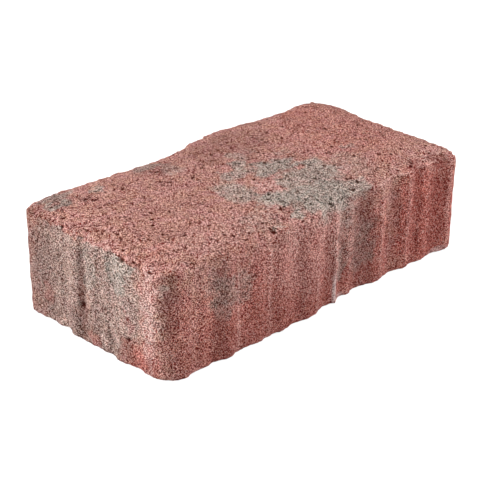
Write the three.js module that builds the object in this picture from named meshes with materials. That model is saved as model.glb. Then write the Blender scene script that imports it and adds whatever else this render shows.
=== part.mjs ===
// Concrete paving stone: one pressed block whose long sides waver the same way, so that two stones
// laid side by side lock together, with irregular upright ribs on all four sides and a low pillow
// on top. Millimetres, +Z up, standing on its bed face at z = 0 with the origin under the middle
// of its bounding box. X runs along the stone and Y across it.
import * as THREE from "three";

// Driving dimensions
const LENGTH = 280; // between the two end lines that the end faces waver about
const WIDTH = 140; // between the two side lines that the long faces waver about
const THICKNESS = 80; // bed face to the flat middle of the top
const EDGE_HEIGHT = 74.7; // bed face to the top edge, where the pillow starts
const PILLOW_REACH = 30; // how far in from the sides the pillow goes on rising
const ARRIS_RADIUS = 2; // rounding between the sides and the top
const BED_CHAMFER = 0.8; // worn edge round the bed face

// Radius of each upright corner, in plan
const CORNER_FRONT_LEFT = 16.5;
const CORNER_FRONT_RIGHT = 4;
const CORNER_BACK_RIGHT = 10;
const CORNER_BACK_LEFT = 10.5;

// Each face in plan. A turn [place, out] is a crest or a hollow: its place along the face, from the
// face's middle towards +X or +Y, and how far it stands out from the face's line. `first` and `last`
// are how far the face stands out where it meets the corners, in the order of the turns.
const FRONT = {
  first: 0.4,
  turns: [
    [-112, -0.8],
    [-107, -0.2],
    [-100, -1.6],
    [-85.5, 1.9],
    [-75.5, -1],
    [-57.5, 0.6],
    [-48.5, -0.5],
    [-39.5, 1.6],
    [-25, -0.6],
    [-13, 2.1],
    [6, -2],
    [12.5, -1.4],
    [23.5, -4.5],
    [29.5, -3.5],
    [39.5, -6],
    [59.5, -2.1],
    [72.5, -5.1],
    [88.5, -2.2],
    [97, -3.3],
    [107, -1.6],
    [115, -2.1],
  ],
  last: -0.4,
};
const RIGHT = {
  first: -0.4,
  turns: [
    [-52, 0.2],
    [-45, -1.1],
    [-33, 0.4],
    [-24, -1],
    [-10, 0.3],
    [0, -1.2],
    [12, 0.4],
    [22, -0.9],
    [34, 0.9],
    [42, 0.3],
    [52, 1.9],
  ],
  last: 0.7,
};
const BACK = {
  first: 0.6,
  turns: [
    [-118, 1.9],
    [-112, 1.2],
    [-104, 2.9],
    [-92, 0.2],
    [-84, 0.9],
    [-74, -1.3],
    [-63, -0.9],
    [-53, -2.5],
    [-44, -1.9],
    [-25, -4],
    [-15, -2.4],
    [-7, -2.3],
    [14, 4],
    [20, 3.6],
    [31, 6.7],
    [35, 6.3],
    [41, 7.6],
    [52, 4.9],
    [64, 4.7],
    [74, 1.8],
    [82, 2.2],
    [92, 0.3],
    [104, 1.3],
    [112, 0],
    [121, 1.2],
  ],
  last: 0.4,
};
const LEFT = {
  first: -2.4,
  turns: [
    [-43.5, -3],
    [-29, -0.7],
    [-18, -1.9],
    [-13.5, -0.7],
    [-9, -1.2],
    [-3, -0.1],
    [8, -1.3],
    [16, 1.3],
    [28, -1.7],
    [34, -0.7],
    [39, -1.2],
  ],
  last: 0.6,
};

// Fineness of the mesh
const STEP = 3; // between points of the outline
const ARRIS_STEPS = 2; // rings that round the arris
const PILLOW_STEPS = 3; // rings between the arris and the flat middle
const SMOOTHING = 20; // the pillow's inner edge leaves out ribs shorter than this

// How far a face stands out at a place between its corners: half a wave from turn to turn.
function outAt(turns, place) {
  const next = turns.findIndex(([at]) => at >= place);
  if (next <= 0) return turns.at(next)[1];
  const [start, low] = turns[next - 1];
  const [end, high] = turns[next];
  const share = (place - start) / (end - start);
  return THREE.MathUtils.lerp(low, high, 0.5 - 0.5 * Math.cos(Math.PI * share));
}

// The points [place, out] of one face from corner to corner, in the order of its turns. Turns that
// a corner's rounding reaches are left out.
function facePoints({ first, turns, last }, from, to) {
  const kept = turns.filter(([at]) => at > from && at < to);
  const whole = [[from, first], ...kept, [to, last]];
  const count = Math.round((to - from) / STEP);
  return Array.from({ length: count + 1 }, (_, i) => {
    const place = from + ((to - from) * i) / count;
    return [place, outAt(whole, place)];
  });
}

// The points strictly between the two ends of a corner's quarter circle.
function cornerPoints(centreX, centreY, radius, startAngle) {
  const count = Math.max(2, Math.round((radius * Math.PI) / 2 / STEP));
  return Array.from({ length: count - 1 }, (_, i) => {
    const angle = startAngle + (Math.PI / 2) * ((i + 1) / count);
    const x = centreX + radius * Math.cos(angle);
    return new THREE.Vector2(x, centreY + radius * Math.sin(angle));
  });
}

// The outline in plan, anticlockwise from the front left corner.
function outline() {
  const x = LENGTH / 2;
  const y = WIDTH / 2;
  // Where the lines of two faces would meet at each corner, less the corner's radius
  const frontLeft = [x + LEFT.first - CORNER_FRONT_LEFT, y + FRONT.first - CORNER_FRONT_LEFT];
  const frontRight = [x + RIGHT.first - CORNER_FRONT_RIGHT, y + FRONT.last - CORNER_FRONT_RIGHT];
  const backRight = [x + RIGHT.last - CORNER_BACK_RIGHT, y + BACK.last - CORNER_BACK_RIGHT];
  const backLeft = [x + LEFT.last - CORNER_BACK_LEFT, y + BACK.first - CORNER_BACK_LEFT];
  const front = facePoints(FRONT, -frontLeft[0], frontRight[0]);
  const right = facePoints(RIGHT, -frontRight[1], backRight[1]);
  const back = facePoints(BACK, -backLeft[0], backRight[0]).reverse();
  const left = facePoints(LEFT, -frontLeft[1], backLeft[1]).reverse();
  return [
    ...front.map(([place, out]) => new THREE.Vector2(place, -y - out)),
    ...cornerPoints(frontRight[0], -frontRight[1], CORNER_FRONT_RIGHT, -Math.PI / 2),
    ...right.map(([place, out]) => new THREE.Vector2(x + out, place)),
    ...cornerPoints(backRight[0], backRight[1], CORNER_BACK_RIGHT, 0),
    ...back.map(([place, out]) => new THREE.Vector2(place, y + out)),
    ...cornerPoints(-backLeft[0], backLeft[1], CORNER_BACK_LEFT, Math.PI / 2),
    ...left.map(([place, out]) => new THREE.Vector2(-x - out, place)),
    ...cornerPoints(-frontLeft[0], -frontLeft[1], CORNER_FRONT_LEFT, Math.PI),
  ];
}

// Moves the outline so that the middle of its bounding box is at the origin.
function centred(points) {
  const middle = new THREE.Box2().setFromPoints(points).getCenter(new THREE.Vector2());
  return points.map((point) => point.clone().sub(middle));
}

// The outline with its ribs smoothed away: each point is the mean of those round it.
function smoothed(points) {
  const count = points.length;
  const reach = Math.round(SMOOTHING / 2 / STEP);
  return points.map((_, i) => {
    const mean = new THREE.Vector2();
    for (let k = -reach; k <= reach; k++) mean.add(points[(i + k + count) % count]);
    return mean.divideScalar(2 * reach + 1);
  });
}

// The way in from a point of the outline: straight towards the stone's middle line, which ends as
// far from the two ends as it lies from the long sides.
function inward(point) {
  const lineEnd = (LENGTH - WIDTH) / 2;
  const x = THREE.MathUtils.clamp(point.x, -lineEnd, lineEnd);
  return new THREE.Vector2(x, 0).sub(point).normalize();
}

const drawnIn = (points, inset) =>
  points.map((point) => point.clone().addScaledVector(inward(point), inset));

// The height of the top at a depth in from the smoothed outline, less than none outside it.
function pillowHeight(depth) {
  const left = 1 - Math.min(depth / PILLOW_REACH, 1);
  return THICKNESS - (THICKNESS - EDGE_HEIGHT) * left ** 2;
}

const raised = (points, heightAt) =>
  points.map(({ x, y }, k) => new THREE.Vector3(x, y, heightAt(k)));

// The rings from the bed face up the sides, over the arris and up the pillow. The pillow takes no
// notice of the ribs, so the arris dips at a crest and rises in a hollow.
function stoneRings(points) {
  const smooth = smoothed(points);
  const depths = points.map(
    (point, k) => ARRIS_RADIUS + point.clone().sub(smooth[k]).dot(inward(point)),
  );
  const rings = [
    raised(drawnIn(points, BED_CHAMFER), () => 0),
    raised(points, () => BED_CHAMFER),
  ];
  for (let i = 0; i <= ARRIS_STEPS; i++) {
    const angle = (Math.PI / 2) * (i / ARRIS_STEPS);
    const ring = drawnIn(points, ARRIS_RADIUS * (1 - Math.cos(angle)));
    const drop = ARRIS_RADIUS * (1 - Math.sin(angle));
    rings.push(raised(ring, (k) => pillowHeight(depths[k]) - drop));
  }
  const arris = drawnIn(points, ARRIS_RADIUS);
  const middle = drawnIn(smooth, PILLOW_REACH);
  for (let i = 1; i <= PILLOW_STEPS; i++) {
    const share = i / PILLOW_STEPS;
    const ring = arris.map((point, k) => point.clone().lerp(middle[k], share));
    const depthAt = (k) => THREE.MathUtils.lerp(depths[k], PILLOW_REACH, share);
    rings.push(raised(ring, (k) => pillowHeight(depthAt(k))));
  }
  return rings;
}

// A closed solid through rings of equally many points, with a flat cap on the first and the last.
function solidThrough(rings) {
  const count = rings[0].length;
  const index = [];
  for (let r = 0; r + 1 < rings.length; r++) {
    for (let i = 0; i < count; i++) {
      const a = r * count + i;
      const b = r * count + ((i + 1) % count);
      index.push(a, b, b + count, a, b + count, a + count);
    }
  }
  const top = (rings.length - 1) * count;
  for (const [a, b, c] of THREE.ShapeUtils.triangulateShape(rings[0], [])) {
    index.push(c, b, a);
  }
  for (const [a, b, c] of THREE.ShapeUtils.triangulateShape(rings.at(-1), [])) {
    index.push(top + a, top + b, top + c);
  }
  const geometry = new THREE.BufferGeometry().setFromPoints(rings.flat());
  geometry.setIndex(index);
  geometry.computeVertexNormals();
  return geometry;
}

// Through-coloured concrete: red, clouded with grey, dull and grainy.
function concrete() {
  return new THREE.MeshStandardMaterial({ color: 0x9c5e55, roughness: 0.95, metalness: 0 });
}

function pavingStone() {
  const mesh = new THREE.Mesh(solidThrough(stoneRings(centred(outline()))), concrete());
  mesh.name = "paving_stone";
  return mesh;
}

const stone = new THREE.Group();
stone.add(pavingStone());

export default stone;
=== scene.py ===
import itertools
import math

import bpy
import numpy as np
from mathutils import Matrix, Vector, kdtree, noise


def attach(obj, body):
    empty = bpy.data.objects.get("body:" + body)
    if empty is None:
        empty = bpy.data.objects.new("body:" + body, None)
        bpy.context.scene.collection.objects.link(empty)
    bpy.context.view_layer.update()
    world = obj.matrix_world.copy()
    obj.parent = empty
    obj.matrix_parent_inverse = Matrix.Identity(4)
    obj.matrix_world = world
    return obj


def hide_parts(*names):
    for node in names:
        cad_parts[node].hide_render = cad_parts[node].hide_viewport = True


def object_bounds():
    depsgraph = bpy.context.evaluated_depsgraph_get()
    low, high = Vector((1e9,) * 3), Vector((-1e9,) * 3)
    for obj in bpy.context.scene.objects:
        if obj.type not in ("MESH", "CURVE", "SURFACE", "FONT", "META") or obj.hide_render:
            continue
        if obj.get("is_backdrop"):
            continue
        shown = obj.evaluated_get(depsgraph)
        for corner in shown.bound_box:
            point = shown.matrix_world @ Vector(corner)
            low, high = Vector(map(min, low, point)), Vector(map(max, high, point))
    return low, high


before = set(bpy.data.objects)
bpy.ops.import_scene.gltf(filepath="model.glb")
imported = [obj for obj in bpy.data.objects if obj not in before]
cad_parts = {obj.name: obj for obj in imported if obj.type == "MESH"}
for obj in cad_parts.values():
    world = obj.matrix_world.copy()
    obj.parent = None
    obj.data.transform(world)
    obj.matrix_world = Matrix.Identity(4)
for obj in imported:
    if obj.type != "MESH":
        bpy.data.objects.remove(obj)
cad_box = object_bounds()

MM = 0.001
NODE = "paving_stone"
SEED = 11

# ------------------------------------------------------------------------------ the stone's form

# Sizes of the solid that the piece follows, in millimetres
TOP = 80.0  # bed face to the flat middle of the top
EDGE_HEIGHT = 74.7  # bed face to the top edge, where the pillow starts
PILLOW_REACH = 30.0  # how far in from the sides the pillow goes on rising
ARRIS_RADIUS = 2.0  # rounding between the sides and the top
BED_CHAMFER = 0.8  # worn edge round the bed face
LINE_END = 70.0  # the middle line, which the pillow rises towards, ends this far each way
SMOOTHING = 3  # the pillow's outline is the mean of this many points each way
SAME_HEIGHT = 0.05  # points of the solid whose heights differ less lie on one ring

# Fineness of the mesh
CELLS_LONG = 264  # along each long side
CELLS_SHORT = 136  # along each end
WALL_ROWS = 69
ARRIS_ROWS = 4
CURVE_STEPS = 8  # points of the smooth outline to each stretch between the solid's points
BED_CELL = 4  # a cell of the bed face is as long as this many along the foot of the walls
BED_BORDER = 3.0  # width of the bed face's border, where the two sizes of cell meet


class Shell:
    """A mesh's vertices and faces, as they are added."""

    def __init__(self):
        self.rows = []
        self.count = 0
        self.faces = []

    def add(self, points, height):
        """Adds points of a plan at their heights and gives back their numbers."""
        self.rows.append(np.column_stack([points, np.broadcast_to(height, len(points))]))
        self.count += len(points)
        return np.arange(self.count - len(points), self.count)

    def cover(self, index):
        """Adds the quads of a grid of vertex numbers."""
        quads = (index[:-1, :-1], index[:-1, 1:], index[1:, 1:], index[1:, :-1])
        self.faces.extend(np.stack(quads, axis=-1).reshape(-1, 4).tolist())


def solid_ring():
    """The solid's widest ring, at the top of its bed chamfer: points in plan, anticlockwise."""
    co = np.array([v.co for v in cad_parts[NODE].data.vertices]) / MM
    ring = co[np.abs(co[:, 2] - BED_CHAMFER) < SAME_HEIGHT, :2]
    ring = np.unique(np.round(ring, 2), axis=0)
    return ring[np.argsort(np.arctan2(ring[:, 1], ring[:, 0]))]


def closed_curve(points):
    """A smooth closed curve through the points, with CURVE_STEPS points to each stretch."""
    a, b, c, d = (np.roll(points, shift, axis=0)[:, None] for shift in (1, 0, -1, -2))
    t = (np.arange(CURVE_STEPS) / CURVE_STEPS)[None, :, None]
    curve = b + t / 2 * (c - a + t * (2 * a - 5 * b + 4 * c - d + t * (3 * (b - c) + d - a)))
    return curve.reshape(-1, 2)


def evenly_round(curve):
    """Points round the curve, anticlockwise from its front left corner: CELLS_LONG on each long
    side and CELLS_SHORT on each end, evenly spaced from corner to corner."""
    ways = np.array([(-1, -1), (1, -1), (1, 1), (-1, 1)])
    corners = np.argmax(curve @ ways.T, axis=0)
    curve = np.roll(curve, -corners[0], axis=0)
    places = [*((corners - corners[0]) % len(curve)), len(curve)]
    closed = np.vstack([curve, curve[:1]])
    steps = np.linalg.norm(np.diff(closed, axis=0), axis=1)
    reach = np.concatenate([[0], np.cumsum(steps)])
    sides = []
    for first, last, cells in zip(places, places[1:], (CELLS_LONG, CELLS_SHORT) * 2):
        at = np.linspace(reach[first], reach[last], cells, endpoint=False)
        sides.append(np.column_stack([np.interp(at, reach, closed[:, k]) for k in (0, 1)]))
    return np.vstack(sides)


def from_line(points):
    """The way from the middle line to each point: square to the line, or round its end."""
    foot = np.clip(points[:, 0], -LINE_END, LINE_END)
    return points - np.column_stack([foot, np.zeros(len(points))])


def bearing(points):
    """Where each point lies round the middle line: one number that grows anticlockwise."""
    foot = np.clip(points[:, 0], -LINE_END, LINE_END)
    turn = np.arctan2(points[:, 1], points[:, 0] - foot) + math.pi / 2
    return np.where(points[:, 1] >= 0, 2 * LINE_END - foot, foot) + LINE_END * turn


def depth_in(points, smooth):
    """How far each point lies inside the smoothed outline, towards the middle line."""
    period = LINE_END * (4 + 2 * math.pi)
    there = np.linalg.norm(from_line(smooth), axis=1)
    there = np.interp(bearing(points), bearing(smooth), there, period=period)
    return there - np.linalg.norm(from_line(points), axis=1)


def pillow(depth):
    """The height of the top at a depth in from the smoothed outline."""
    left = 1 - np.minimum(depth / PILLOW_REACH, 1)
    return TOP - (TOP - EDGE_HEIGHT) * left**2


def drawn_in(loop, inset):
    """The loop moved in towards the middle line."""
    way = from_line(loop)
    return loop - inset * way / np.linalg.norm(way, axis=1)[:, None]


def four_sides(loop, along, across):
    """A loop's front, right, back and left sides, along +X or +Y and with both their ends."""
    closed = np.concatenate([loop, loop[:1]])
    front = closed[: along + 1]
    right = closed[along : along + across + 1]
    back = closed[along + across : 2 * along + across + 1][::-1]
    left = closed[2 * along + across :][::-1]
    return front, right, back, left


def spread(loop, along, across):
    """The grid of points inside a loop, spread evenly between its four sides."""
    front, right, back, left = four_sides(loop, along, across)
    u = np.linspace(0, 1, along + 1)[None, :, None]
    v = np.linspace(0, 1, across + 1)[:, None, None]
    sides = (1 - v) * front[None] + v * back[None] + (1 - u) * left[:, None] + u * right[:, None]
    near = (1 - u) * front[0] + u * front[-1]
    far = (1 - u) * back[0] + u * back[-1]
    return sides - (1 - v) * near - v * far


def add_inside(shell, rim, loop, along, across, height_of):
    """Fills a loop whose points are in the shell already, and gives back the grid's numbers."""
    inside = spread(loop, along, across)[1:-1, 1:-1].reshape(-1, 2)
    index = np.empty((across + 1, along + 1), int)
    index[0], index[:, -1], index[-1], index[:, 0] = four_sides(rim, along, across)
    index[1:-1, 1:-1] = shell.add(inside, height_of(inside)).reshape(across - 1, along - 1)
    return index


def add_bed(shell, rim, loop):
    """Fills the bed face with cells BED_CELL times as long as those of its rim."""
    coarse_loop = drawn_in(loop[::BED_CELL], BED_BORDER)
    coarse = shell.add(coarse_loop, 0)
    for k, here in enumerate(coarse):
        after = coarse[(k + 1) % len(coarse)]
        fine = [rim[(BED_CELL * k + j) % len(rim)] for j in range(BED_CELL + 1)]
        half = BED_CELL // 2
        for j, (a, b) in enumerate(zip(fine, fine[1:])):
            shell.faces.append([b, a, here if j < half else after])
        shell.faces.append([fine[half], here, after])
    along, across = CELLS_LONG // BED_CELL, CELLS_SHORT // BED_CELL
    index = add_inside(shell, coarse, coarse_loop, along, across, lambda points: 0)
    shell.cover(index[::-1])


def smooth_stone():
    """The stone before any roughness: its true outline, walls, rounded arris, pillow and bed."""
    ring = solid_ring()
    loop = evenly_round(closed_curve(ring))
    shifted = [np.roll(ring, k, axis=0) for k in range(-SMOOTHING, SMOOTHING + 1)]
    smooth = closed_curve(sum(shifted) / len(shifted))

    def height_of(points):
        return pillow(depth_in(points, smooth))

    edge = drawn_in(loop, ARRIS_RADIUS)
    edge_height = height_of(edge)
    foot = drawn_in(loop, BED_CHAMFER)
    rise = edge_height - ARRIS_RADIUS - BED_CHAMFER
    shell = Shell()
    rings = [shell.add(foot, 0)]
    for share in np.linspace(0, 1, WALL_ROWS + 1):
        rings.append(shell.add(loop, BED_CHAMFER + rise * share))
    for angle in np.linspace(0, math.pi / 2, ARRIS_ROWS + 1)[1:]:
        inset = ARRIS_RADIUS * (1 - math.cos(angle))
        drop = ARRIS_RADIUS * (1 - math.sin(angle))
        rings.append(shell.add(drawn_in(loop, inset), edge_height - drop))
    rings = np.array(rings)
    shell.cover(np.column_stack([rings, rings[:, 0]]))
    shell.cover(add_inside(shell, rings[-1], edge, CELLS_LONG, CELLS_SHORT, height_of))
    add_bed(shell, rings[0], foot)
    return shell


# ------------------------------------------------------------------------- the stone's roughness

# How far apart the noise and the knobs of two seeds are taken, counted in lumps
SEED_SHIFT = np.array([17.3, 5.9, 41.7])
KNOB_SHIFT = 9.1


def field(points, size, seed, octaves=1):
    """Smooth noise with lumps of about `size`, mostly within -1 to 1. The size may be one number
    or one for each axis."""
    scaled = points / np.broadcast_to(size, 3) + SEED_SHIFT * seed
    return np.array([2 * noise.fractal(Vector(p), 1.0, 2.0, octaves) for p in scaled])


def knobs(points, size, seed):
    """Rounded grains of about `size` that crowd together: 1 on their tops, 0 between them."""
    scaled = points / size + KNOB_SHIFT * seed
    nearest = np.array([noise.voronoi(Vector(p))[0][0] for p in scaled])
    return np.clip(1 - nearest**2, 0, 1)


def near(points, place, reach, core=0.0):
    """1 at the place and over its core, falling softly to 0 at its reach in each direction."""
    away = np.linalg.norm((points - np.array(place)) / np.array(reach), axis=1)
    share = np.clip((1 - away) / (1 - core), 0, 1)
    return share * share * (3 - 2 * share)


# Relief along the surface's normal: how large its lumps are, and how high
UNEVEN_SIZE, UNEVEN_HEIGHT = 38.0, 0.35
LUMP_SIZE, LUMP_HEIGHT = 8.0, 0.2
KNOB_SIZE, KNOB_HEIGHT = 2.4, 0.4
KNOB_LEVEL = 0.7  # the share of a knob's height that lies under the smooth surface
DRAG_SIZE, DRAG_HEIGHT = (2.2, 2.2, 22.0), 0.16  # upright marks that the mould leaves on the sides
FOOT_SIZE, FOOT_RAGGED = (7.0, 7.0, 3.0), 0.55  # ragged foot of the sides
FOOT_HEIGHT = 5.0  # how high up it reaches
ARRIS_SIZE, ARRIS_RAGGED = 6.0, 0.6  # ragged top edge
BED_HOLLOW = 0.7  # how far the bed lies above the floor, which its largest lumps alone touch

# How upright the surface is, from 0 on the top over 1 on the walls to 2 on the bed: the top is
# what is less, and the bed what is more
TOP_UPRIGHT, BED_UPRIGHT = 0.4, 1.5
# The top edge is where the surface bends more than this, from 0 on flat faces to 1, and where
# there is less of the fin than this
ARRIS_BEND, ARRIS_FIN = 0.5, 0.1

# Pits in the top and along its edge: their number, and their smallest and largest radius
PIT_COUNT, PIT_RADIUS = 330, (0.9, 1.9)
EDGE_PIT_COUNT, EDGE_PIT_RADIUS = 45, (0.8, 1.8)
PIT_SLOPE = 0.75  # depth as a share of the radius
# Places along the top edge where crumbs have come off, likewise
CRUMB_COUNT, CRUMB_RADIUS, CRUMB_SLOPE = 170, (1.6, 4.0), 0.28

# Single holes and hollows: place, reach along each axis, depth. Each has its middle at the point
# of the surface nearest its place.
HOLE_FULL_SHADE = 1.9  # one this deep or deeper gets the fullest painted shade a hole gets
HOLES = (
    ((-139.5, -31, 74), (6, 5.4, 6), 3.6),
    ((-45, -72, 76), (4, 5, 3.6), 3.0),
    ((-45, 42, 80), (4.2, 2.6, 4), 2.2),
    ((-104, 35, 80), (3.2, 2.4, 4), 1.8),
    ((-34, 12, 80), (3.4, 2.2, 4), 1.6),
    ((52, -4, 80), (4, 3, 4), 1.2),
    ((-110, 23, 80), (4, 2.2, 4), 1.4),
    ((-53, 18, 80), (2.6, 2, 4), 1.3),
    ((-108, 10, 80), (2.6, 1.8, 4), 1.3),
    ((102, -18, 79), (2.8, 1.8, 4), 1.5),
    ((118, -62, 77), (2.8, 2, 4), 1.5),
    ((-119, -27, 79), (2.8, 2, 4), 1.4),
    ((-132, 32, 77), (3, 2.2, 4), 1.4),
    ((2, -45, 80), (3.6, 2.4, 4), 1.4),
    ((117, 56, 77), (7, 4, 4), 1.2),
    ((-141, 6, 26), (4, 3, 5), 1.4),
    ((-141, -38.5, 19), (4, 2.4, 3), 1.6),
    ((-141, -14, 31), (4, 4, 3), 1.2),
)

# Upright ridges on the front, where the mould's ribs meet: place along X, height, and the height of
# the middle and the reach of the stretch where they show
RIDGES = (
    (-79, 0.95, 20, 60),
    (-51, 0.95, 40, 64),
    (-27, 0.5, 50, 40),
    (-6, 0.85, 20, 60),
    (-1, 0.6, 70, 30),
    (13, 1.1, 20, 90),
    (29, 0.3, 20, 40),
    (60.5, 0.85, 45, 62),
    (88, 0.75, 50, 70),
    (109, 0.3, 60, 60),
    (131, 0.8, 40, 90),
)
RIDGE_STEEP, RIDGE_SLACK = 1.4, 6.0  # width of a ridge's side towards -X and towards +X
RIDGE_FADE = 1.3  # the larger, the longer the stretch over which a ridge has its full height
RIDGE_WANDER_SIZE, RIDGE_WANDER = (9.0, 9.0, 14.0), 0.6  # how a ridge bends to and fro
CREST_PAST, CREST_WIDTH = 1.0, 1.8  # its painted highlight, a pale line on the ridge's lit side: how far past the ridge's place, how wide

# The sharp fin along the front's top edge, where the mould's lid met its side
FIN_HEIGHT, FIN_FROM, FIN_TO = 0.75, 30.0, 136.0
FIN_FADE = 10.0  # length over which each of its ends runs out
FIN_KEPT, FIN_BROKEN, FIN_BREAK_SIZE = 0.65, 0.5, (5.0, 5.0, 50.0)  # how much of it is left
FIN_SHARPNESS = 3  # the larger, the closer it keeps to the edge
FIN_HIGHLIGHT = 2.2  # how strong its painted highlight is beside that on the crest of a ridge 1 mm high

# Corners worn away: place, reach along each axis, depth
WORN = (
    ((141, -71, 79), (12, 12, 12), 2.0),
    ((-140, 68, 79), (10, 10, 8), 1.2),
    ((132, 60, 80), (15, 10, 9), 1.3),
)


def ridges(points, normals):
    """The relief of the front's ridges, and the strength of the painted highlight on the lit side
    of each one's crest.
    """
    relief, crest = np.zeros(len(points)), np.zeros(len(points))
    front = np.clip(-normals[:, 1], 0, 1)
    wander = RIDGE_WANDER * field(points, RIDGE_WANDER_SIZE, seed=6)
    for place, height, middle, reach in RIDGES:
        past = points[:, 0] - place + wander
        inside = 1 - np.abs(points[:, 2] - middle) / reach
        shown = front * np.clip(RIDGE_FADE * inside, 0, 1)
        width = np.where(past < 0, RIDGE_STEEP, RIDGE_SLACK)
        relief = np.maximum(relief, height * shown * np.exp(-((past / width) ** 2)))
        # painted highlight: a pale line just past the crest, on the side the light falls on
        pale = np.exp(-(((past - CREST_PAST) / CREST_WIDTH) ** 2))
        crest = np.maximum(crest, shown * height * pale)
    return relief, crest


def fin(points, normals):
    """How much of the fin's height there is at each point."""
    turn = 2 * np.clip(-normals[:, 1], 0, 1) * np.clip(normals[:, 2], 0, 1)
    inside = np.minimum(points[:, 0] - FIN_FROM, FIN_TO - points[:, 0])
    ends = np.clip(inside / FIN_FADE, 0, 1)
    breaks = FIN_BROKEN * field(points, FIN_BREAK_SIZE, seed=7, octaves=2)
    return turn**FIN_SHARPNESS * ends * np.clip(FIN_KEPT + breaks, 0, 1)


def scattered(points, allowed, count, radius, seed):
    """Random spots on the surface: for each, the numbers of the points within its radius, how
    near they are to its middle, from 0 to 1, and the radius."""
    tree = kdtree.KDTree(len(points))
    for i, point in enumerate(points):
        tree.insert(point, i)
    tree.balance()
    rng = np.random.default_rng(seed)
    for middle in rng.choice(np.flatnonzero(allowed), count):
        reach = radius[0] + (radius[1] - radius[0]) * rng.random() ** 2
        found = tree.find_range(points[middle], reach)
        away = np.array([distance for _, _, distance in found])
        yield [i for _, i, _ in found], 1 - (away / reach) ** 2, reach


def roughened(points, normals):
    """The points moved to where the stone's rough surface is, how deep in a pit each lies, and
    the strength of the painted highlight near the crest of a ridge or of the fin."""
    upright = 1 - normals[:, 2]
    bed = upright > BED_UPRIGHT
    relief = UNEVEN_HEIGHT * field(points, UNEVEN_SIZE, seed=1, octaves=2)
    relief += LUMP_HEIGHT * field(points, LUMP_SIZE, seed=2, octaves=2)
    relief += KNOB_HEIGHT * (knobs(points, KNOB_SIZE, seed=3) - KNOB_LEVEL)
    relief += DRAG_HEIGHT * np.minimum(upright, 1) * field(points, DRAG_SIZE, seed=4)
    ridge, crest = ridges(points, normals)
    relief += ridge
    edge = fin(points, normals)
    relief += FIN_HEIGHT * edge
    # the fin gets a painted highlight too
    crest = np.maximum(crest, FIN_HIGHLIGHT * edge)
    foot = np.clip(1 - points[:, 2] / FOOT_HEIGHT, 0, 1) * ~bed
    relief += FOOT_RAGGED * foot * field(points, FOOT_SIZE, seed=5, octaves=2)
    bend = 4 * np.clip(normals[:, 2], 0, 1) * np.clip(upright, 0, 1)
    ragged = ARRIS_RAGGED * bend * (1 - edge)
    relief += ragged * field(points, ARRIS_SIZE, seed=8, octaves=3)

    pit = np.zeros(len(points))
    top = upright < TOP_UPRIGHT
    arris = (bend > ARRIS_BEND) & (edge < ARRIS_FIN)
    top_pits = scattered(points, top, PIT_COUNT, PIT_RADIUS, SEED)
    edge_pits = scattered(points, arris, EDGE_PIT_COUNT, EDGE_PIT_RADIUS, SEED + 2)
    for numbers, share, reach in itertools.chain(top_pits, edge_pits):
        relief[numbers] -= PIT_SLOPE * reach * share
        pit[numbers] = np.maximum(pit[numbers], share)
    for numbers, share, reach in scattered(points, arris, CRUMB_COUNT, CRUMB_RADIUS, SEED + 1):
        relief[numbers] -= CRUMB_SLOPE * reach * share
    for place, reach, depth in HOLES:
        middle = points[np.argmin(np.linalg.norm(points - np.array(place), axis=1))]
        share = near(points, middle, reach)
        relief -= depth * share
        pit = np.maximum(pit, share * min(depth / HOLE_FULL_SHADE, 1))
    for place, reach, depth in WORN:
        relief -= depth * near(points, place, reach)

    relief[bed] = np.minimum(relief[bed] - BED_HOLLOW, 0)
    moved = points + relief[:, None] * normals
    moved[:, 2] = np.maximum(moved[:, 2], 0)
    return moved, pit, crest


# ---------------------------------------------------------------------------- the stone's colours

WARP_SIZE, WARP = 9.0, 3.0  # how long the bends of the clouds' edges are, and how far they go
WARP_SEEDS = (20, 21, 22)
CLOUD_CORE = 0.5  # the share of a cloud's reach over which it has its full strength

# Clouds of colour on the red ground: place, reach along each axis, strength
GREY_CLOUDS = (
    # top
    ((12, -58, 80), (42, 24, 25), 1.0),
    ((-12, -46, 80), (28, 14, 20), 1.0),
    ((30, -34, 80), (28, 19, 20), 0.9),
    ((16, -8, 80), (26, 16, 20), 0.95),
    ((36, -22, 80), (22, 13, 20), 0.9),
    ((-8, 0, 80), (14, 8, 20), 0.8),
    ((10, -32, 80), (20, 15, 20), 0.85),
    ((-29, -20, 80), (16, 28, 20), 0.8),
    ((1, 9, 80), (9, 10, 20), 0.85),
    ((9, 21, 80), (8, 13, 20), 0.6),
    ((-17, 3, 80), (9, 11, 20), 0.75),
    ((44, -63, 80), (15, 15, 20), 0.85),
    ((60, -38, 80), (24, 26, 20), 0.42),
    ((-46, -58, 80), (24, 20, 20), 0.4),
    ((-20, -66, 80), (9, 6, 20), 0.9),
    ((-38, -71, 78), (8, 5, 6), 0.7),
    ((41, 8, 80), (12, 7, 20), 0.4),
    ((22, 22, 80), (8, 7, 20), 0.35),
    ((-124, 46, 78), (11, 8, 20), 0.85),
    ((-118, 58, 78), (18, 10, 20), 0.75),
    ((-93, 45, 78), (7, 9, 20), 0.8),
    ((-45, 54, 78), (17, 11, 20), 0.7),
    ((-36, 38, 78), (10, 18, 20), 0.5),
    ((81, -18, 80), (6, 7, 20), 0.55),
    # front
    ((28, -70, 61), (12, 12, 12), 0.6),
    ((30, -70, 46), (26, 12, 32), 0.45),
    ((20, -70, 28), (8, 12, 22), 0.65),
    ((43, -70, 32), (18, 12, 30), 0.55),
    ((0, -72, 70), (15, 12, 10), 0.5),
    ((-89, -72, 48), (17, 12, 22), 0.6),
    ((-72, -72, 46), (11, 12, 18), 0.5),
    ((-100, -72, 56), (9, 12, 14), 0.4),
    ((-28, -72, 60), (12, 12, 13), 0.3),
    ((-144, -66, 63), (11, 9, 11), 0.65),
)
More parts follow.
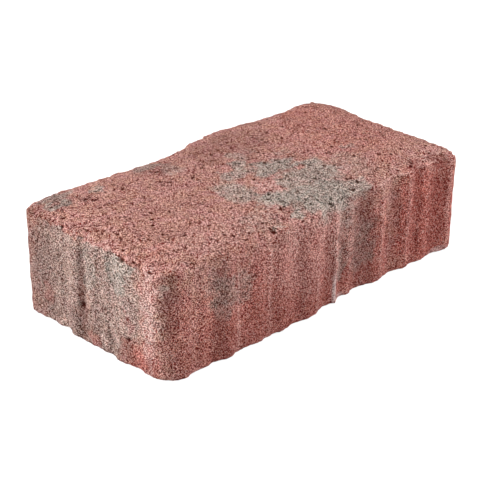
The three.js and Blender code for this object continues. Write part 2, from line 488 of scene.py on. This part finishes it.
# Those of the left end, which lie on the sides alone and fade out at the top edge
END_GREY_TOP, END_GREY_FADE, END_GREY_WARP = 76.0, 3.0, 0.9
END_GREY_CLOUDS = (
    ((-142, 0, 36), (20, 90, 90), 0.72),
    ((-142, -28, 66), (20, 18, 34), 1.0),
    ((-142, 0, 54), (20, 14, 32), 0.9),
)
# Islands in the grey, where the ground shows
RED_ISLANDS = (
    ((-7, -25, 80), (11, 15, 20), 1.0),
    ((29, -20, 80), (6, 2.5, 20), 0.7),
    ((13, -16, 80), (6, 2.5, 20), 0.6),
    ((-140, -52, 4), (14, 28, 24), 0.9),
    ((-140, -6, 5), (14, 9, 8), 0.8),
    ((-140, 42, 20), (14, 7, 8), 0.5),
    ((-140, -37, 29), (14, 6, 7), 0.4),
    ((-140, 6, 30), (14, 4, 40), 0.3),
    ((-140, 66, 40), (14, 12, 90), 0.15),
    ((-140, -53, 50), (14, 10, 60), 0.2),
)
DEEP_CLOUDS = (
    ((108, -80, 32), (60, 24, 76), 1.0),
    ((-16, -80, 26), (13, 24, 44), 0.4),
    ((-43, -80, 20), (9, 24, 38), 0.4),
    ((-142, -52, 5), (14, 20, 22), 0.7),
    ((-93, -80, 10), (13, 24, 32), 0.65),
    ((-126, -80, 30), (14, 24, 60), 0.5),
    ((0, -80, 16), (190, 24, 80), 0.75),
    ((100, 52, 79), (22, 14, 10), 0.4),
    ((85, -48, 79), (20, 10, 10), 0.25),
    ((100, 10, 80), (60, 70, 10), 0.25),
    ((-82, -50, 80), (9, 6, 10), 0.35),
    ((-120, -48, 79), (14, 7, 10), 0.3),
)
# Paler red: partly dusty patches, partly painted highlight on the rounding of the near corner and
# along the left end's top edge, where they catch the light
PALE_AND_HIGHLIGHT_CLOUDS = (
    ((-7, -27, 80), (12, 14, 20), 0.85),
    ((-139, -56, 45), (10, 7, 70), 1.0),
    ((-142, -2, 76), (7, 74, 3.5), 0.7),
    ((-5, -74, 56), (70, 12, 50), 0.38),
    ((-85, -54, 80), (44, 18, 20), 0.3),
    ((-114, 52, 79), (5, 9, 6), 0.4),
    ((28, 6, 80), (7, 5, 6), 0.5),
)
# Streaks of pale lime bloom, whose edges don't wander
BLOOM_CLOUDS = (
    ((13.5, -74, 10), (2.2, 12, 17), 0.9),
    ((20, -72, 2), (9, 12, 3), 0.5),
    ((124, -72, 2), (12, 12, 4), 0.4),
)
# Painted shade and darker places: most are painted shade in the hollows between the ribs of the
# front and the left end; the rest make the walls darker towards the bottom, and add darker patches
# on the top and the left end's far part
SHADE_AND_DARK_CLOUDS = (
    # front
    ((8, -72, 22), (7, 12, 50), 0.6),
    ((22, -70, 22), (7, 12, 44), 0.65),
    ((45, -69, 28), (16, 12, 70), 0.75),
    ((29, -70, 60), (8, 12, 20), 0.3),
    ((76, -70, 20), (14, 12, 70), 0.5),
    ((98, -72, 36), (10, 12, 70), 0.55),
    ((121, -72, 40), (13, 12, 80), 0.68),
    ((-44, -72, 30), (7, 12, 64), 0.2),
    ((-20, -72, 26), (8, 12, 50), 0.36),
    ((-90, -72, 8), (12, 12, 38), 0.6),
    ((0, -76, -6), (190, 12, 60), 0.5),
    ((-80, -72, 48), (16, 12, 24), 0.35),
    ((-92, -72, 52), (7, 12, 24), 0.5),
    ((-133, -71, 54), (6, 12, 36), 0.5),
    ((-115, -78, 8), (18, 12, 30), 0.4),
    ((95, -76, 0), (50, 12, 44), 0.35),
    # top
    ((-124, 50, 78), (20, 14, 20), 0.5),
    ((-45, 48, 78), (20, 20, 20), 0.3),
    ((20, 40, 79), (50, 26, 20), 0.38),
    ((20, -5, 80), (30, 18, 20), 0.15),
    ((18, -46, 80), (30, 26, 20), 0.15),
    ((-129, -10, 80), (9, 44, 10), 0.2),
    # left end
    ((-142, 60, 36), (12, 44, 90), 0.72),
    ((-142, 23, 36), (8, 4, 70), 0.35),
    ((-142, 27, 8), (8, 4, 40), 0.55),
    ((-142, -12, 30), (8, 6, 60), 0.35),
    ((-142, -46, 36), (8, 5, 60), 0.4),
    ((-142, -10, 0), (8, 80, 44), 0.6),
    ((-142, -10, 50), (8, 60, 60), 0.24),
)
# Painted shade in the furrows of the left end, whose edges don't wander
FURROW_SHADES = (
    ((-140, 6.5, 28), (12, 5, 62), 0.95),
    ((-140, 24, 36), (12, 3.5, 66), 0.3),
)
FOOT_SHADE = 1.4  # painted shade along the foot of the walls, up to this height


def clouded(points, clouds):
    """How strong the clouds are at each point, where the strongest counts."""
    found = [s * near(points, place, reach, CLOUD_CORE) for place, reach, s in clouds]
    return np.max(found, axis=0)


def colour_masks(points, wall):
    """Each point's shares of grey, deep red, pale red (partly dusty, partly painted highlight),
    lime bloom, and darkness (painted shade and darker patches).
    """
    warp = [field(points, WARP_SIZE, seed, octaves=3) for seed in WARP_SEEDS]
    warped = points + WARP * np.column_stack(warp)
    found = {"deep": DEEP_CLOUDS, "pale": PALE_AND_HIGHLIGHT_CLOUDS, "dark": SHADE_AND_DARK_CLOUDS}
    masks = {name: clouded(warped, clouds) for name, clouds in found.items()}
    under = (END_GREY_TOP - points[:, 2]) / END_GREY_FADE + END_GREY_WARP * warp[2]
    on_sides = np.clip(2 * wall - 0.4, 0, 1)
    end = np.clip(under, 0, 1) * on_sides * clouded(warped, END_GREY_CLOUDS)
    grey = np.maximum(clouded(warped, GREY_CLOUDS), end)
    masks["grey"] = grey * (1 - clouded(warped, RED_ISLANDS))
    masks["bloom"] = clouded(points, BLOOM_CLOUDS)
    # painted shade along the foot of the walls and in the left end's furrows joins the dark clouds
    foot = wall * np.clip(FOOT_SHADE - points[:, 2], 0, 1)
    masks["dark"] = np.max([masks["dark"], foot, clouded(points, FURROW_SHADES)], axis=0)
    return masks


# -------------------------------------------------------------------------------- the stone's mesh

# The bake's map: where each side lies in one square, with the axis and the way it faces, the
# axes and ways that run along and up it, and its column and row in the square.
MAP_MARGIN = 2.0
MAP_SIDE = 470.0
MAP_COLUMNS = (0.0, 285.0)
MAP_ROWS = (0.0, 152.0, 304.0, 386.0)
MAP_SIDES = (
    ((2, 1), (0, 1), (1, 1), (0, 0)),
    ((2, -1), (0, -1), (1, 1), (0, 1)),
    ((1, -1), (0, 1), (2, 1), (0, 2)),
    ((1, 1), (0, -1), (2, 1), (0, 3)),
    ((0, -1), (1, -1), (2, 1), (1, 2)),
    ((0, 1), (1, 1), (2, 1), (1, 3)),
)


def add_bake_map(mesh, points, face_normals):
    """Unfolds the smooth stone's six sides into one square, each face on the side it looks to."""
    facing = np.array([sign * face_normals[:, axis] for (axis, sign), *_ in MAP_SIDES])
    side_of_face = np.argmax(facing, axis=0)
    vertex = np.empty(len(mesh.loops), int)
    mesh.loops.foreach_get("vertex_index", vertex)
    side = np.repeat(side_of_face, [p.loop_total for p in mesh.polygons])
    uv = np.empty((len(mesh.loops), 2))
    for k, (_, (across, run), (up, rise), (column, row)) in enumerate(MAP_SIDES):
        placed = np.column_stack([run * points[:, across], rise * points[:, up]])
        placed += MAP_MARGIN + np.array([MAP_COLUMNS[column], MAP_ROWS[row]]) - placed.min(0)
        uv[side == k] = placed[vertex[side == k]] / MAP_SIDE
    mesh.uv_layers.new(name="OFBake").data.foreach_set("uv", uv.ravel())


def vectors_of(items, name):
    """The named vectors of a mesh's vertices or faces, one row each."""
    values = np.empty(len(items) * 3, np.float32)
    items.foreach_get(name, values)
    return values.reshape(-1, 3).astype(float)


def build_stone():
    """The stone as one closed mesh, with its colour masks and its bake map."""
    shell = smooth_stone()
    points = np.vstack(shell.rows)
    mesh = bpy.data.meshes.new("stone")
    mesh.from_pydata((points * MM).tolist(), [], shell.faces)
    normals = vectors_of(mesh.vertex_normals, "vector")
    add_bake_map(mesh, points, vectors_of(mesh.polygon_normals, "vector"))
    moved, pit, crest = roughened(points, normals)
    mesh.vertices.foreach_set("co", (moved * MM).ravel())
    wall = 1 - np.abs(normals[:, 2])
    masks = {**colour_masks(points, wall), "pit": pit, "crest": crest, "wall": wall}
    for name, values in masks.items():
        mesh.attributes.new(name, "FLOAT", "POINT").data.foreach_set("value", values)
    mesh.shade_smooth()
    mesh.update()
    stone = bpy.data.objects.new("stone", mesh)
    bpy.context.scene.collection.objects.link(stone)
    return stone


# -------------------------------------------------------------------------------------- materials


class Nodes:
    """A node tree, with short ways to add to it. Sizes of patterns are in millimetres."""

    def __init__(self, owner):
        owner.use_nodes = True
        self.tree = owner.node_tree
        self.tree.nodes.clear()

    def add(self, kind, sockets=None, **settings):
        """Adds a node. Each socket is linked to the socket it is given, or set to the value."""
        node = self.tree.nodes.new(kind)
        for name, value in settings.items():
            setattr(node, name, value)
        for name, value in (sockets or {}).items():
            if isinstance(value, bpy.types.NodeSocket):
                self.tree.links.new(value, node.inputs[name])
            else:
                node.inputs[name].default_value = value
        return node

    def math(self, operation, a, b):
        return self.add("ShaderNodeMath", {0: a, 1: b}, operation=operation).outputs[0]

    def vector_math(self, operation, a, b, c=(0.0, 0.0, 0.0)):
        sockets = {0: a, 1: b, 2: c}
        return self.add("ShaderNodeVectorMath", sockets, operation=operation).outputs[0]

    def mixed(self, share, a, b, blend="MIX"):
        sockets = {0: share, 6: a, 7: b}
        node = self.add("ShaderNodeMix", sockets, data_type="RGBA", blend_type=blend)
        return node.outputs[2]

    def multiplied(self, a, b):
        return self.mixed(1.0, a, b, "MULTIPLY")

    def ranged(self, value, low, high, at_low=0.0, at_high=1.0, curve="LINEAR"):
        sockets = {0: value, 1: low, 2: high, 3: at_low, 4: at_high}
        return self.add("ShaderNodeMapRange", sockets, interpolation_type=curve).outputs[0]

    def eased(self, *limits):
        """Like `ranged`, with soft turns at both ends."""
        return self.ranged(*limits, curve="SMOOTHSTEP")

    def mask(self, name):
        return self.add("ShaderNodeAttribute", attribute_name=name).outputs["Fac"]

    def clouds(self, where, size, detail=2.0, result=0):
        sockets = {"Vector": where, "Scale": 1 / (size * MM), "Detail": detail}
        return self.add("ShaderNodeTexNoise", sockets).outputs[result]

    def patches(self, where, size, detail, low, high):
        """Patches of noise: 0 where it is below its low level, and 1 above its high one."""
        return self.eased(self.clouds(where, size, detail), low, high)

    def cells(self, where, size):
        """How far each point is from the middle of its cell, and the cell's three random tones."""
        sockets = {"Vector": where, "Scale": 1 / (size * MM), "Randomness": 1.0}
        found = self.add("ShaderNodeTexVoronoi", sockets).outputs
        return found["Distance"], self.add("ShaderNodeSeparateColor", {0: found["Color"]}).outputs


def rgb(red, green, blue):
    return (red, green, blue, 1.0)


PINK_RED = rgb(0.54, 0.24, 0.205)
BROWN_RED = rgb(0.54, 0.255, 0.185)
DARK_RED = rgb(0.46, 0.192, 0.146)
DEEP_RED = rgb(0.55, 0.137, 0.102)
PALE_RED = rgb(0.63, 0.35, 0.30)
GREY = rgb(0.48, 0.395, 0.335)
GREY_DARK = rgb(0.37, 0.305, 0.258)
SAND = rgb(0.72, 0.59, 0.52)  # in the grey
RED_SAND = rgb(0.78, 0.5, 0.43)  # in the red
BLOOM = rgb(0.92, 0.72, 0.69)
# What colours are multiplied by: the painted shadow between the grains, that painted shadow in the
# deepest hollows, the cement on the palest grains, the painted shade in pits, and the painted shade
# and darker patches of the dark clouds
GAP_TINT = rgb(1.17, 0.6, 0.55)
GREY_GAP_TINT = rgb(0.85, 1.0, 1.0)
PORE_TINT = rgb(0.45, 0.45, 0.45)
GRAIN_TINT = rgb(1.66, 2.06, 2.18)
GREY_GRAIN_TINT = rgb(1.9, 2.0, 2.1)
PIT_SHADE_TINT = rgb(0.9, 0.75, 0.72)
SHADE_AND_DARK_TINT = rgb(0.52, 0.48, 0.48)

# Between these values of the wall mask the top's patterns give way to the sides', and the top's
# own holes and torn patches end
SIDE_SETS_IN, LID_ENDS = (0.2, 0.7), (0.1, 0.5)
PATTERN_TURN = (0.6, 0.45, 0.3)  # so that no face is level with the patterns' own grids
WANDER_SIZE, GRAIN_WANDER, HOLE_WANDER = 1.0, 0.3, 2.2  # how patterns are bent to and fro

# Spacing of the sand grains, the stones, the pores and the top's larger holes
GRAIN, STONE, PORES, TOP_HOLES = 0.7, 2.2, 2.3, 5.0
# The largest radius of the pores and of those holes, as a share of their spacing, how soft their
# rims are, and the share of places that are left without one
PORE_RADIUS, PORE_RIM, NO_PORE = 0.45, 0.08, 0.7
TOP_HOLE_RADIUS, TOP_HOLE_RIM, NO_TOP_HOLE = 0.27, 0.05, 0.68
WALL_PORES = 0.6  # size of the pores on the sides beside those on the top
PIT_SHOWS = (0.2, 0.7)  # values of the pit mask between which a pit's painted shade sets in

# A fine noise, on the top and on the sides: its size, its detail, and the level under which it is
# a gap between grains. Over the levels of SANDY_FLECKS it turns to sand.
TOP_FLECKS, WALL_FLECKS = (1.15, 1.0), (0.85, 0.5)
GAP_LEVELS, GAP_RIM = (0.385, 0.408), 0.012
SANDY_FLECKS, SAND_IN_FLECKS = (0.6, 0.64), 0.45

# Patches: size, detail, and the levels between which they set in
BROWN_PATCHES = (9.0, 3.0, 0.35, 0.65)
DARK_PATCHES = (17.0, 4.0, 0.45, 0.75)
GREY_PATCHES = (7.0, 3.0, 0.35, 0.65)
CRACK_PATCHES = (3.5, 2.0, 0.48, 0.58)  # where the cracks show
# Patches of the top whose skin is torn off down to a lower level, with a crack round them
TORN_SIZE, TORN_DETAIL, TORN_LEVEL = 11.0, 5.0, 0.5
TORN_STEP, CRACK_WIDTH = 0.01, 0.014  # how far from that level the step and the crack reach

RAGGED_SIZE, RAGGED_DETAIL, RAGGED = 2.5, 3.0, 0.8  # how ragged the edges of the grey are
STONE_TONE = 0.05  # how much more or less grey a stone may be
GREY_SETS_IN = (0.22, 1.1)  # values of the ragged grey mask between which it sets in

# Grains: how far from its middle one keeps its tone and where its rim is, on the top and on the
# sides, and the tones of the darkest and, on the top and on the sides, the palest one
GRAIN_CORE, GRAIN_RIM = (0.35, 0.37), (0.67, 0.69)
DARKEST_GRAIN, PALEST_GRAIN = 0.3, (1.75, 1.9)
MIDDLE_TONE = 1.35  # what a grain's tone is multiplied by up to its core
NO_SAND, SAND_IN_GRAINS = 0.8, 0.7  # share of grains without sand colour, and the most in one
# the most sand colour laid on the crests of the ridges and the fin as painted highlight
CREST_HIGHLIGHT = 0.4
MOST_BLOOM = 0.85
HOLLOW_SHOWS, MOST_SHADOW = (0.1, 0.9), 0.9  # where a hollow's shadow sets in, and its most

# Relief in millimetres: how far grains and stones stand out, and how deep hollows and tears are
GRAIN_RISE, STONE_RISE, HOLLOW_DROP, TEAR = 0.3, 0.3, 1.0, 0.3
ROUGHNESS, SPECULAR = (0.8, 1.0), 0.1


def pores_in(n, cells, flecks, side):
    """1 in the pores and in the fine gaps between grains."""
    away, tone = cells
    radius = n.ranged(tone[0], NO_PORE, 1.0, 0.0, PORE_RADIUS)
    radius = n.math("MULTIPLY", radius, n.ranged(n.mask("wall"), 0.0, 1.0, 1.0, WALL_PORES))
    pore = n.eased(n.math("SUBTRACT", radius, away), 0.0, PORE_RIM)
    least = n.ranged(side, 0.0, 1.0, *GAP_LEVELS)
    gap = n.eased(n.math("SUBTRACT", least, flecks), -GAP_RIM, GAP_RIM)
    return n.math("MAXIMUM", pore, gap)


def top_holes(n, own, wander, lid):
    """1 in the top's larger holes, which go straight down."""
    in_plan = n.vector_math("MULTIPLY_ADD", wander, (HOLE_WANDER * MM,) * 3, own)
    in_plan = n.vector_math("MULTIPLY", in_plan, (1.0, 1.0, 0.0))
    away, tone = n.cells(in_plan, TOP_HOLES)
    radius = n.ranged(tone[0], NO_TOP_HOLE, 1.0, 0.0, TOP_HOLE_RADIUS)
    hole = n.eased(n.math("SUBTRACT", radius, away), 0.0, TOP_HOLE_RIM)
    return n.math("MULTIPLY", hole, lid)


def cracks(n, at, torn, lid):
    """1 in the cracks round the torn patches."""
    edge = n.math("ABSOLUTE", n.math("SUBTRACT", torn, TORN_LEVEL), 0.0)
    crack = n.math("MULTIPLY", n.eased(edge, 0.0, CRACK_WIDTH, 1.0, 0.0), lid)
    return n.math("MULTIPLY", crack, n.patches(at, *CRACK_PATCHES))


def cement(n, at, stone_tone):
    """The cement's colour with its clouds, and the share of grey in it."""
    red = n.mixed(n.patches(at, *BROWN_PATCHES), PINK_RED, BROWN_RED)
    red = n.mixed(n.patches(at, *DARK_PATCHES), red, DARK_RED)
    red = n.mixed(n.mask("deep"), red, DEEP_RED)
    # pale red: partly dust, partly painted highlight
    red = n.mixed(n.mask("pale"), red, PALE_RED)
    grey = n.mixed(n.patches(at, *GREY_PATCHES), GREY, GREY_DARK)
    ragged = n.math("SUBTRACT", n.clouds(at, RAGGED_SIZE, RAGGED_DETAIL), 0.5)
    ragged = n.math("MULTIPLY", ragged, RAGGED)
    mottled = n.ranged(stone_tone[1], 0.0, 1.0, -STONE_TONE, STONE_TONE)
    mottled = n.math("ADD", n.mask("grey"), n.math("ADD", ragged, mottled))
    grey_share = n.ranged(mottled, *GREY_SETS_IN)
    return n.mixed(grey_share, red, grey), grey_share


def sanded(n, colour, grey_share, cells, flecks, side):
    """The cement's colour with its grains of sand, and the painted shadow between the grains."""
    away, tone = cells
    sand = n.mixed(grey_share, RED_SAND, SAND)
    # painted highlight: sand colour on the crests of the ridges and on the fin
    colour = n.mixed(n.ranged(n.mask("crest"), 0.0, 1.0, 0.0, CREST_HIGHLIGHT), colour, sand)
    colour = n.mixed(n.ranged(tone[0], NO_SAND, 1.0, 0.0, SAND_IN_GRAINS), colour, sand)
    core = n.ranged(side, 0.0, 1.0, *GRAIN_CORE)
    rim = n.ranged(side, 0.0, 1.0, *GRAIN_RIM)
    palest = n.ranged(side, 0.0, 1.0, *PALEST_GRAIN)
    shade = n.ranged(tone[1], 0.0, 1.0, DARKEST_GRAIN, palest)
    shade = n.math("MULTIPLY", shade, n.eased(away, core, rim, MIDDLE_TONE, 0.0))
    shadow = n.multiplied(n.multiplied(colour, colour), colour)
    gap = n.multiplied(shadow, n.mixed(grey_share, GAP_TINT, GREY_GAP_TINT))
    pale = n.multiplied(colour, n.mixed(grey_share, GRAIN_TINT, GREY_GRAIN_TINT))
    colour = n.mixed(shade, gap, pale)
    flecked = n.eased(flecks, *SANDY_FLECKS, 0.0, SAND_IN_FLECKS)
    return n.mixed(flecked, colour, sand), gap


def concrete():
    """Through-coloured concrete: grains of sand in red and grey cement, with fine dark pores on
    all sides, and larger holes, torn patches and cracks on the top."""
    material = bpy.data.materials.new("concrete")
    n = Nodes(material)
    own = n.add("ShaderNodeTexCoord").outputs["Object"]
    at = n.add("ShaderNodeMapping", {"Vector": own, "Rotation": PATTERN_TURN}).outputs[0]
    wander = n.clouds(at, WANDER_SIZE, result="Color")
    nudged = n.vector_math("MULTIPLY_ADD", wander, (GRAIN_WANDER * MM,) * 3, at)
    grains, grain_tone = n.cells(nudged, GRAIN)
    stones, stone_tone = n.cells(nudged, STONE)
    side = n.ranged(n.mask("wall"), *SIDE_SETS_IN)
    lid = n.ranged(n.mask("wall"), *LID_ENDS, 1.0, 0.0)
    flecks = n.mixed(side, n.clouds(at, *TOP_FLECKS), n.clouds(at, *WALL_FLECKS))
    torn = n.clouds(at, TORN_SIZE, TORN_DETAIL)
    pore = pores_in(n, n.cells(nudged, PORES), flecks, side)
    pit = n.eased(n.mask("pit"), *PIT_SHOWS)
    pit = n.math("MAXIMUM", top_holes(n, own, wander, lid), pit)
    hollow = n.math("MAXIMUM", n.math("MAXIMUM", pore, cracks(n, at, torn, lid)), pit)

    colour, grey_share = cement(n, at, stone_tone)
    colour, gap = sanded(n, colour, grey_share, (grains, grain_tone), flecks, side)
    # painted shade, and darker patches, from the dark clouds, the left end's furrows and the walls'
    # foot
    colour = n.mixed(n.mask("dark"), colour, SHADE_AND_DARK_TINT, "MULTIPLY")
    colour = n.mixed(n.ranged(n.mask("bloom"), 0.0, 1.0, 0.0, MOST_BLOOM), colour, BLOOM)
    shadow = n.eased(hollow, *HOLLOW_SHOWS, 0.0, MOST_SHADOW)
    colour = n.mixed(shadow, colour, n.multiplied(gap, PORE_TINT))
    # painted shade in the pits and in the top's larger holes
    colour = n.mixed(pit, colour, PIT_SHADE_TINT, "MULTIPLY")

    height = n.math("MULTIPLY", grains, -GRAIN_RISE)
    height = n.math("SUBTRACT", height, n.math("MULTIPLY", stones, STONE_RISE))
    height = n.math("SUBTRACT", height, n.math("MULTIPLY", hollow, HOLLOW_DROP))
    step = n.eased(torn, TORN_LEVEL - TORN_STEP, TORN_LEVEL + TORN_STEP)
    height = n.math("ADD", height, n.math("MULTIPLY", n.math("MULTIPLY", step, lid), TEAR))
    bump = n.add("ShaderNodeBump", {"Distance": MM, "Height": height})
    rough = n.ranged(grain_tone[2], 0.0, 1.0, *ROUGHNESS)
    sockets = {"Base Color": colour, "Roughness": rough, "Normal": bump.outputs[0]}
    sockets["Specular IOR Level"] = SPECULAR
    surface = n.add("ShaderNodeBsdfPrincipled", sockets)
    n.add("ShaderNodeOutputMaterial", {"Surface": surface.outputs[0]})
    return material


def seen_directly(n):
    """1 where the camera sees a surface itself, or in a mirror or through glass."""
    path = n.add("ShaderNodeLightPath").outputs
    seen = n.math("MAXIMUM", path["Is Camera Ray"], path["Is Glossy Ray"])
    return n.math("MAXIMUM", seen, path["Is Transmission Ray"])


FLOOR_COLOUR = rgb(0.6, 0.6, 0.6)
FLOOR_GLOW = 0.75  # light of its own, where it is seen directly


def pale_floor():
    """A pale floor that looks white where it is lit, and keeps the stone's shadow."""
    material = bpy.data.materials.new("floor")
    n = Nodes(material)
    lit = n.add("ShaderNodeBsdfDiffuse", {"Color": FLOOR_COLOUR}).outputs[0]
    glow = n.math("MULTIPLY", seen_directly(n), FLOOR_GLOW)
    white = n.add("ShaderNodeEmission", {"Strength": glow}).outputs[0]
    both = n.add("ShaderNodeAddShader", {0: lit, 1: white}).outputs[0]
    n.add("ShaderNodeOutputMaterial", {"Surface": both})
    return material


# ----------------------------------------------------------------------------------------- studio

# The camera looks at a centre, which lies in the middle of the photographed stone's two side lines
# and two end lines, and is then moved aside and raised
VIEW_CENTRE = Vector((-0.0003, -0.00273, 0.0))
VIEW_AZIMUTH = math.radians(-44.18)
VIEW_ELEVATION = math.radians(26.97)
VIEW_ROLL = math.radians(0.52)
VIEW_DISTANCE = 1.0207
VIEW_ASIDE = -0.00608
VIEW_RAISED = 0.02479
LENS = 108.58  # on a sensor 36 mm wide

AMBIENT = 0.22  # level of the surroundings' light, which are white where they are seen directly
FLOOR_SIZE = 8.0  # length of the floor's sides
# Softboxes: the way they lie in plan, elevation in degrees, distance, width and level. A level of 1
# lights a surface that faces the lamp so that its colour renders as it is written.
SOFTBOXES = {
    "softbox_left": ((-0.75, 0.66), 20.0, 2.4, 0.75, 1.01),
    "softbox_right": ((0.87, -0.5), 20.0, 1.3, 0.5, 0.65),
    "softbox_top": ((-0.5, -0.6), 60.0, 1.0, 0.6, 0.4),
}


def add_object(name, data, matrix=None):
    made = bpy.data.objects.new(name, data)
    bpy.context.scene.collection.objects.link(made)
    if matrix is not None:
        made.matrix_world = matrix
    return made


def add_camera():
    """The photograph's view: level but for a slight roll, looking down on the front left corner."""
    turn, rise = VIEW_AZIMUTH, VIEW_ELEVATION
    flat = math.cos(rise)
    back = Vector((math.sin(turn) * flat, -math.cos(turn) * flat, math.sin(rise)))
    right = Vector((math.cos(turn), math.sin(turn), 0.0))
    up = back.cross(right)
    place = VIEW_CENTRE + back * VIEW_DISTANCE + right * VIEW_ASIDE + up * VIEW_RAISED
    tilted_right = right * math.cos(VIEW_ROLL) + up * math.sin(VIEW_ROLL)
    tilted_up = up * math.cos(VIEW_ROLL) - right * math.sin(VIEW_ROLL)
    matrix = Matrix((tilted_right, tilted_up, back)).transposed().to_4x4()
    data = bpy.data.cameras.new("camera")
    data.lens = LENS
    bpy.context.scene.camera = add_object("camera", data, Matrix.Translation(place) @ matrix)


def add_softbox(name, plan, elevation, distance, width, level):
    """A square lamp that faces the origin, in the middle of the stone's bed face."""
    rise = math.radians(elevation)
    flat = Vector((*plan, 0.0)).normalized() * math.cos(rise)
    way = flat + Vector((0.0, 0.0, math.sin(rise)))
    data = bpy.data.lights.new(name, "AREA")
    data.size = width
    data.energy = level * (math.pi * distance) ** 2
    place = Matrix.Translation(way * distance)
    add_object(name, data, place @ way.to_track_quat("Z", "Y").to_matrix().to_4x4())


def add_world():
    """Surroundings that look white, and that light the stone softly."""
    world = bpy.data.worlds.new("world")
    bpy.context.scene.world = world
    n = Nodes(world)
    level = n.eased(seen_directly(n), 0.0, 1.0, AMBIENT, 1.0)
    sky = n.add("ShaderNodeBackground", {"Strength": level}).outputs[0]
    n.add("ShaderNodeOutputWorld", {"Surface": sky})


def add_floor():
    """The floor, which is part of the stage and not of the stone."""
    half = FLOOR_SIZE / 2
    corners = [(-half, -half, 0), (half, -half, 0), (half, half, 0), (-half, half, 0)]
    mesh = bpy.data.meshes.new("floor")
    mesh.from_pydata(corners, [], [(0, 1, 2, 3)])
    mesh.materials.append(pale_floor())
    add_object("floor", mesh)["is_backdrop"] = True


add_camera()
add_world()
add_floor()
for name, facts in SOFTBOXES.items():
    add_softbox(name, *facts)

stone = build_stone()
stone.data.materials.append(concrete())
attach(stone, "root")
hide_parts(NODE)

bpy.context.scene.view_settings.view_transform = "Standard"
boxes = {"cad": cad_box, "visual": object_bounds()}
{name: [list(corner) for corner in box] for name, box in boxes.items()}
